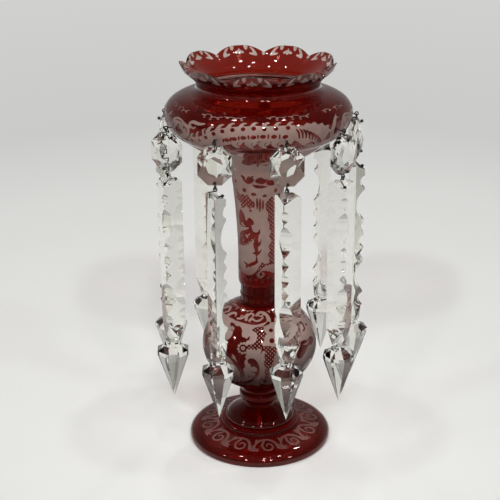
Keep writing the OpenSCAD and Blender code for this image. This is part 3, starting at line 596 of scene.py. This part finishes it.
def turned(name, runs, segments, shape):
    """A closed object from an outline turned round Z; each run of the outline starts where the last ends."""
    turns = FIRST_DROP + np.arange(segments) * 360 / segments
    outline, kinds = join_runs(runs)
    rows, points = turn_outline(outline, turns, shape)
    faces, indices, maps = turned_faces(rows, kinds, distances(outline), segments)
    mesh = bpy.data.meshes.new(name)
    mesh.from_pydata((points * MM).tolist(), [], faces)
    mesh.polygons.foreach_set("material_index", np.array(indices, np.int32))
    mesh.uv_layers.new(name="OFBake").data.foreach_set("uv", maps.ravel())
    mesh.shade_smooth()
    mesh.set_sharp_from_angle(angle=math.radians(38))
    piece = bpy.data.objects.new(name, mesh)
    bpy.context.scene.collection.objects.link(piece)
    return piece, turns


# How far painted shade reaches along an outline: nowhere, or over the whole piece.
NOWHERE, ALL_OVER = (-2, -1), (98, 99)


def glass_piece(node, runs, segments, materials, engrave=None, shape=None, painted_shade=NOWHERE):
    """One piece of the glass body, which stands for its CAD node. Its first run is the engraved skin. Its last
    argument paints shade into the colour and the reflections: full up to its first distance along the outline, and
    none from the second one on."""
    piece, turns = turned(node + "_glass", runs, segments, shape)
    for material in materials:
        piece.data.materials.append(material)
    skin = np.array(runs[0][1], float)
    art = Engraving(turns, distances(skin), skin[:, 0])
    if engrave:
        engrave(art)
    frost = np.full(len(piece.data.vertices), -Engraving.REACH, np.float32)
    frost[:len(art.value)] = art.value
    # Painted shade, stored as an attribute: 1 up to the first distance along the outline, falling to 0 at the second.
    depth = np.zeros(len(frost), np.float32)
    depth[:len(art.value)] = np.interp(art.along_grid, painted_shade, (1, 0))
    for title, values in (("frost", frost), ("painted_shade", depth)):
        piece.data.attributes.new(title, "FLOAT", "POINT").data.foreach_set("value", values)
    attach(piece, "vase")
    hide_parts(node)


# Shader nodes

def new_material(name):
    """A node material with one Principled shader; returns it, its tree and the shader."""
    material = bpy.data.materials.new(name)
    material.use_nodes = True
    tree = material.node_tree
    return material, tree, tree.nodes["Principled BSDF"]


def add_node(tree, kind, **values):
    """A shader node with the given properties, or inputs where a name is an input's."""
    made = tree.nodes.new("ShaderNode" + kind)
    for key, value in values.items():
        if hasattr(made, key):
            setattr(made, key, value)
        else:
            made.inputs[key.replace("_", " ")].default_value = value
    return made


def feed(tree, value, socket):
    """Links a socket to an input, or sets the input to a colour or a number."""
    if isinstance(value, bpy.types.NodeSocket):
        tree.links.new(value, socket)
    else:
        socket.default_value = (*value, 1) if isinstance(value, tuple) else value


def noise(tree, scale, detail=3.0):
    """Noise in object space, at a scale per metre; returns its value socket."""
    place = add_node(tree, "TexCoord")
    cloud = add_node(tree, "TexNoise", Scale=scale, Detail=detail)
    tree.links.new(place.outputs["Object"], cloud.inputs["Vector"])
    return cloud.outputs["Fac"]


def spread(tree, value, low, high, start=0.0, end=1.0):
    """Maps a value between two ends onto another pair, and returns the socket."""
    ranged = add_node(tree, "MapRange")
    for name, number in (("From Min", start), ("From Max", end), ("To Min", low), ("To Max", high)):
        ranged.inputs[name].default_value = number
    tree.links.new(value, ranged.inputs["Value"])
    return ranged.outputs["Result"]


def blend(tree, share, a, b):
    """Mixes two colours, or two colour sockets, by a value socket."""
    mix = add_node(tree, "Mix", data_type="RGBA")
    tree.links.new(share, mix.inputs["Factor"])
    for name, colour in (("A", a), ("B", b)):
        feed(tree, colour, next(s for s in mix.inputs if s.name == name and s.type == "RGBA"))
    return next(s for s in mix.outputs if s.type == "RGBA")


def between(tree, share, a, b):
    """Mixes two value sockets by a third."""
    mix = add_node(tree, "Mix", data_type="FLOAT")
    for index, value in ((0, share), (2, a), (3, b)):
        tree.links.new(value, mix.inputs[index])
    return mix.outputs[0]


def maths(tree, operation, a, b, clamp=True):
    """One Math node on two sockets, or a socket and a number; returns its socket."""
    made = add_node(tree, "Math", operation=operation, use_clamp=clamp)
    for index, value in enumerate((a, b)):
        feed(tree, value, made.inputs[index])
    return made.outputs[0]


def emboss(tree, shader, height, strength, depth):
    """Gives the shader a bump, with its depth in metres."""
    bump = add_node(tree, "Bump", Strength=strength, Distance=depth)
    tree.links.new(height, bump.inputs["Height"])
    tree.links.new(bump.outputs["Normal"], shader.inputs["Normal"])


def pass_lamps(tree, shader, tint):
    """Lets lamp light through the glass, tinted by a colour or a colour socket."""
    rays = add_node(tree, "LightPath")
    through = add_node(tree, "BsdfTransparent")
    feed(tree, tint, through.inputs["Color"])
    mix = add_node(tree, "MixShader")
    tree.links.new(rays.outputs["Is Shadow Ray"], mix.inputs[0])
    tree.links.new(shader.outputs[0], mix.inputs[1])
    tree.links.new(through.outputs[0], mix.inputs[2])
    tree.links.new(mix.outputs[0], tree.nodes["Material Output"].inputs["Surface"])


# Materials

def frost_mask(tree):
    """1 where the frost attribute says that the skin is cut through, with a slightly uneven edge."""
    attribute = add_node(tree, "Attribute", attribute_name="frost")
    wobble = spread(tree, noise(tree, 420.0), -0.07, 0.07, 0.25, 0.75)
    edge = maths(tree, "ADD", attribute.outputs["Fac"], wobble, clamp=False)
    return spread(tree, edge, 0.0, 1.0, -0.09, 0.09)


def frosted_ground(tree, painted_shade, low, high, deep):
    """The cloudy colour of the cut ground, with painted shade: darker where the painted shade attribute says so, and
    towards the edges where the surface turns away from the view.
    """
    ground = blend(tree, spread(tree, noise(tree, 160.0, 5.0), 0, 1, 0.3, 0.7), low, high)
    # Painted shade at the edges, by how far the surface turns from the view.
    facing = add_node(tree, "LayerWeight", Blend=0.5).outputs["Facing"]
    shade_share = maths(tree, "ADD", painted_shade, spread(tree, facing, 0.0, 0.8, 0.45, 0.95))
    return blend(tree, shade_share, ground, deep)


def flashed_glass(name, deep, pale, low, frost_low, frost_high, frost_shaded, clear):
    """Clear glass with a ruby skin, cut through to a frosted ground. low and the third frost colour are painted shade
    colours, used where the painted shade attribute is 1, and clear is the share of light that goes through the ruby."""
    material, tree, shader = new_material(name)
    # The painted shade attribute darkens the ruby, the frost and the reflections.
    painted_shade = add_node(tree, "Attribute", attribute_name="painted_shade").outputs["Fac"]
    mask = frost_mask(tree)
    ruby = blend(tree, painted_shade, blend(tree, noise(tree, 26.0, 4.0), deep, pale), low)
    frost = frosted_ground(tree, painted_shade, frost_low, frost_high, frost_shaded)
    tree.links.new(blend(tree, mask, ruby, frost), shader.inputs["Base Color"])
    grain = noise(tree, 2600.0, 2.0)
    polish = spread(tree, noise(tree, 60.0), 0.015, 0.06)
    tree.links.new(between(tree, mask, polish, spread(tree, grain, 0.42, 0.62)), shader.inputs["Roughness"])
    tree.links.new(spread(tree, mask, clear, 0.5), shader.inputs["Transmission Weight"])
    shader.inputs["IOR"].default_value = 1.5
    behind = add_node(tree, "NewGeometry").outputs["Backfacing"]
    # Painted shade on the reflections: a darker, redder tint where the shade attribute is 1.
    sheen = blend(tree, painted_shade, (1, 0.65, 0.6), (0.6, 0.14, 0.11))
    tree.links.new(blend(tree, behind, sheen, (0.35, 0.03, 0.015)), shader.inputs["Specular Tint"])
    sunk = between(tree, mask, spread(tree, noise(tree, 90.0), 0.9, 1.0), spread(tree, grain, 0.0, 0.3))
    emboss(tree, shader, sunk, 0.35, 0.00025)
    pass_lamps(tree, shader, blend(tree, mask, (0.40, 0.05, 0.035), (0.45, 0.38, 0.36)))
    return material


def clear_glass(name, low, high, haze, waves, height, ior):
    """Polished clear glass with a faint unevenness; waves per metre and their height in metres."""
    material, tree, shader = new_material(name)
    tree.links.new(blend(tree, noise(tree, 40.0), low, high), shader.inputs["Base Color"])
    tree.links.new(spread(tree, noise(tree, 130.0, 4.0), 0.0, haze, 0.35, 0.75), shader.inputs["Roughness"])
    shader.inputs["Transmission Weight"].default_value = 1.0
    shader.inputs["IOR"].default_value = ior
    emboss(tree, shader, noise(tree, waves), 0.2, height)
    pass_lamps(tree, shader, (0.86, 0.87, 0.86))
    return material


def fused_joint():
    """The faces where two gathers of glass are fused: light goes straight on there."""
    material, tree, shader = new_material("fused_joint")
    tree.nodes.remove(shader)
    through = add_node(tree, "BsdfTransparent")
    tree.links.new(through.outputs[0], tree.nodes["Material Output"].inputs["Surface"])
    return material


def dark_wire():
    """Oxidised wire, worn brighter in patches."""
    material, tree, shader = new_material("dark_wire")
    wear = spread(tree, noise(tree, 900.0, 5.0), 0, 1, 0.45, 0.7)
    tree.links.new(blend(tree, wear, (0.018, 0.015, 0.013), (0.11, 0.09, 0.07)), shader.inputs["Base Color"])
    tree.links.new(spread(tree, wear, 0.55, 0.32), shader.inputs["Roughness"])
    shader.inputs["Metallic"].default_value = 0.85
    emboss(tree, shader, noise(tree, 3000.0), 0.3, 0.0001)
    return material


def seen_share(tree, place):
    """How much of the floor's glow a ray sees: all of it from the camera, less towards the front in mirrors and
    glass, and less through glass at the sides."""
    front, back = -0.1, 0.3
    rays = add_node(tree, "LightPath").outputs
    mirrored = maths(tree, "MULTIPLY", rays["Is Glossy Ray"], spread(tree, place["Y"], 0.0, 1.0, front, back))
    through = maths(tree, "MULTIPLY", rays["Is Transmission Ray"], spread(tree, place["Y"], 0.25, 1.0, front, back))
    aside = maths(tree, "ABSOLUTE", place["X"], 0.0)
    through = maths(tree, "MULTIPLY", through, spread(tree, aside, 1.0, 0.3, 0.35, 0.8))
    return maths(tree, "ADD", maths(tree, "ADD", rays["Is Camera Ray"], mirrored), through)


def pale_paper():
    """The plain pale floor: a painted pool of light, a paler colour round the object, and a soft glow beyond it."""
    middle, near, edge, far = (0, 0.3, 0), 0.42, 0.75, 2.6
    material, tree, shader = new_material("pale_floor")
    place = add_node(tree, "TexCoord").outputs["Object"]
    parts = add_node(tree, "SeparateXYZ")
    reach = add_node(tree, "VectorMath", operation="DISTANCE")
    reach.inputs[1].default_value = middle
    tree.links.new(place, parts.inputs[0])
    tree.links.new(place, reach.inputs[0])
    away = reach.outputs["Value"]
    pale = blend(tree, noise(tree, 3.0), (0.76, 0.76, 0.745), (0.82, 0.82, 0.805))
    # Painted pool of light: paler floor colour near the object, darker beyond.
    painted_pool = spread(tree, away, 1.0, 0.0, near, edge)
    tree.links.new(blend(tree, painted_pool, (0.30, 0.30, 0.295), pale), shader.inputs["Base Color"])
    tree.links.new(spread(tree, noise(tree, 60.0), 0.6, 0.75), shader.inputs["Roughness"])
    shader.inputs["Specular IOR Level"].default_value = 0.2
    glow = maths(tree, "ADD", spread(tree, away, 0.0, 0.34, near, edge), spread(tree, away, 0.0, 0.14, edge, far))
    shader.inputs["Emission Color"].default_value = (1, 1, 0.98, 1)
    tree.links.new(maths(tree, "MULTIPLY", seen_share(tree, parts.outputs), glow), shader.inputs["Emission Strength"])
    return material


# Stage

def make_floor():
    """A wide pale floor."""
    half = 6.0
    mesh = bpy.data.meshes.new("floor")
    mesh.from_pydata([(-half, -half, 0), (half, -half, 0), (half, half, 0), (-half, half, 0)], [], [(0, 1, 2, 3)])
    floor = bpy.data.objects.new("floor", mesh)
    bpy.context.scene.collection.objects.link(floor)
    mesh.materials.append(pale_paper())


def make_world():
    """A dim studio with a pale wall low down behind the object, and pale all round for the camera."""
    world = bpy.data.worlds.new("studio")
    bpy.context.scene.world = world
    world.use_nodes = True
    tree = world.node_tree
    place = add_node(tree, "TexCoord")
    parts = add_node(tree, "SeparateXYZ")
    tree.links.new(place.outputs["Generated"], parts.inputs[0])
    back = spread(tree, parts.outputs["Y"], 0, 1, 0.0, 0.5)
    low = spread(tree, parts.outputs["Z"], 1, 0, 0.15, 0.6)
    studio = blend(tree, maths(tree, "MULTIPLY", back, low), (0.13, 0.13, 0.125), (0.35, 0.35, 0.34))
    rays = add_node(tree, "LightPath").outputs
    through = maths(tree, "MULTIPLY", rays["Is Transmission Ray"], maths(tree, "MULTIPLY", low, 0.2))
    seen = maths(tree, "ADD", rays["Is Camera Ray"], through)
    tree.links.new(blend(tree, seen, studio, (0.7, 0.7, 0.69)), tree.nodes["Background"].inputs["Color"])


def make_light(name, place, target, size, power):
    """A round lamp aimed at a point."""
    lamp = bpy.data.lights.new(name, "AREA")
    lamp.shape = "DISK"
    lamp.size = size
    lamp.energy = power
    light = bpy.data.objects.new(name, lamp)
    light.location = place
    light.rotation_euler = (Vector(target) - Vector(place)).to_track_quat("-Z", "Y").to_euler()
    bpy.context.scene.collection.objects.link(light)


# Lamps as (turn, elevation, power)
LAMPS = [(-64, 35, 14), (-24, 40, 33), (7, 41, 29), (21, 41, 29), (55, 38, 14),
         (-86, 74, 14), (12, 68, 17), (83, 73, 14), (155, 51, 18), (-150, 50, 14)]


def make_lights():
    """Small lamps under the ceiling, on a dome round the middle of the object."""
    reach, size, middle, aim = 4.0, 0.22, 0.25, (0, 0, 0.2)
    for i, (turn, rise, power) in enumerate(LAMPS):
        t, e = math.radians(turn), math.radians(rise)
        place = (reach * math.sin(t) * math.cos(e), -reach * math.cos(t) * math.cos(e), middle + reach * math.sin(e))
        make_light(f"lamp_{i}", place, aim, size, power)


def make_camera():
    """The photograph's viewpoint; the focal length is in pixels of a square picture."""
    distance, height, focal, picture = 0.917, 0.522, 1199.0, 500
    pitch, yaw, roll = math.radians(21.03), math.radians(-0.461), math.radians(-0.413)
    level = Vector((math.cos(yaw), -math.sin(yaw), 0))
    ahead = Vector((math.sin(yaw) * math.cos(pitch), math.cos(yaw) * math.cos(pitch), -math.sin(pitch)))
    raised = level.cross(ahead)
    right = level * math.cos(roll) + raised * math.sin(roll)
    up = raised * math.cos(roll) - level * math.sin(roll)
    data = bpy.data.cameras.new("camera")
    data.sensor_width = 36.0
    data.lens = data.sensor_width * focal / picture
    camera = bpy.data.objects.new("camera", data)
    turn = Matrix((right, up, -ahead)).transposed().to_4x4()
    camera.matrix_world = Matrix.Translation((0, -distance, height)) @ turn
    bpy.context.scene.collection.objects.link(camera)
    bpy.context.scene.camera = camera


# Pieces

def body_glass():
    """The ruby skins: three strengths of red under the engraving, where the stem and knop get the paler ones as
    painted light, and a dark one for foot and collars.
    """
    # Painted light: the stem and knop use these paler reds, and the knop a paler frost, for the light that comes
    # through them.
    lit_red = (0.125, 0.0008, 0.0002), (0.18, 0.0013, 0.0003)
    frost = (0.36, 0.28, 0.245), (0.45, 0.35, 0.31)
    clear = 0.72
    # In each skin, the colour after the two reds and the last frost colour are painted shade.
    engraved = flashed_glass("engraved_glass", (0.075, 0.0003, 0.00006), (0.115, 0.0005, 0.00012),
                             (0.095, 0.0004, 0.0001), *frost, (0.062, 0.028, 0.024), clear)
    stem = flashed_glass("engraved_stem", *lit_red, (0.13, 0.0008, 0.0002), *frost, (0.11, 0.042, 0.036), clear)
    knop = flashed_glass("engraved_knop", *lit_red, (0.02, 0.0002, 0.0001), (0.385, 0.3, 0.262),
                         (0.475, 0.37, 0.328), (0.05, 0.033, 0.03), clear)
    ruby = flashed_glass("ruby_glass", (0.035, 0.0004, 0.0002), (0.055, 0.0008, 0.0004), (0.045, 0.0006, 0.0003),
                         (0.1, 0.048, 0.044), (0.148, 0.075, 0.067), (0.1, 0.05, 0.04), 0.5)
    return engraved, stem, knop, ruby


def make_body():
    """The six pieces of the glass body, with more faces round the axis where the ornament is finer."""
    joint = fused_joint()
    inside = clear_glass("inner_glass", (0.97, 0.96, 0.95), (0.99, 0.985, 0.98), 0.03, 60.0, 0.0004, 1.5)
    engraved, stem, knop, ruby = body_glass()
    outer, inner, seam = 0, 1, 2
    broad, middling, narrow, slim = 720, 576, 396, 216
    glass_piece("foot", [
        (outer, finer(FOOT, [(14, 1.2), (37, .6), (99, .9)])),
        (seam, [[FOOT_R, FOOT_TOP], [0, FOOT_TOP]]),
        (inner, FOOT_HOLLOW),
        (inner, [[50, 0], [58.5, 0]])], middling, [ruby, inside, joint], engrave_foot)
    # The collars get painted shade all over. The knop and stem get it on their lower parts.
    glass_piece("foot_collar", [
        (outer, finer(FOOT_COLLAR, [(99, .8)])),
        (seam, [[COLLAR_R, COLLAR_TOP], [0, COLLAR_TOP]]),
        (seam, [[0, FOOT_TOP], [FOOT_R, FOOT_TOP]])], slim, [ruby, inside, joint], painted_shade=ALL_OVER)
    glass_piece("knop", [
        (outer, finer(KNOP, [(22, 1.2), (200, .42)])),
        (seam, [[KNOP_MOUTH, KNOP_TOP], [BORE, KNOP_TOP]]),
        (inner, knop_inside()),
        (seam, [[0, COLLAR_TOP], [COLLAR_R, COLLAR_TOP]])], broad, [knop, inside, joint], engrave_knop, painted_shade=(35, 70))
    glass_piece("stem_collar", [
        (outer, finer(STEM_COLLAR, [(99, .8)])),
        (seam, [[STEM_R, STEM_LOW], [BORE, STEM_LOW]]),
        (inner, finer([[BORE, STEM_LOW], [BORE, KNOP_TOP]], [(99, 1)])),
        (seam, [[BORE, KNOP_TOP], [KNOP_MOUTH, KNOP_TOP]])], slim, [ruby, inside, joint], painted_shade=ALL_OVER)
    glass_piece("stem", [
        (outer, finer(STEM, [(200, .36)])),
        (seam, [[BOWL_R, STEM_TOP], [BOWL_BORE, STEM_TOP]]),
        (inner, stem_inside()),
        (seam, [[BORE, STEM_LOW], [STEM_R, STEM_LOW]])], narrow, [stem, inside, joint], engrave_stem, painted_shade=(8, 23))
    glass_piece("bowl", [
        (outer, finer(BOWL, [(58, .9), (95, .5), (119, 1.4), (200, .55)])),
        (inner, finer(bowl_inside(), [(300, 3)])),
        (seam, [[BOWL_BORE, STEM_TOP], [BOWL_R, STEM_TOP]])], broad, [engraved, inside, joint], engrave_bowl, scallop)


def dress_drops():
    """Finishes for the hanging wires and the cut glass, which keep their CAD meshes."""
    glass = clear_glass("cut_glass", (0.955, 0.953, 0.9), (0.99, 0.989, 0.952), 0.008, 120.0, 0.00002, 1.6)
    wire = dark_wire()
    finishes = {"hook": wire, "button_pins": wire, "prism_pin": wire, "button": glass, "prism": glass}
    for i in range(1, DROPS + 1):
        for kind, finish in finishes.items():
            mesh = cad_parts[f"{kind}_{i}"].data
            mesh.materials.clear()
            mesh.materials.append(finish)


make_camera()
make_floor()
make_world()
make_lights()
make_body()
dress_drops()
bpy.context.scene.view_settings.view_transform = "Standard"
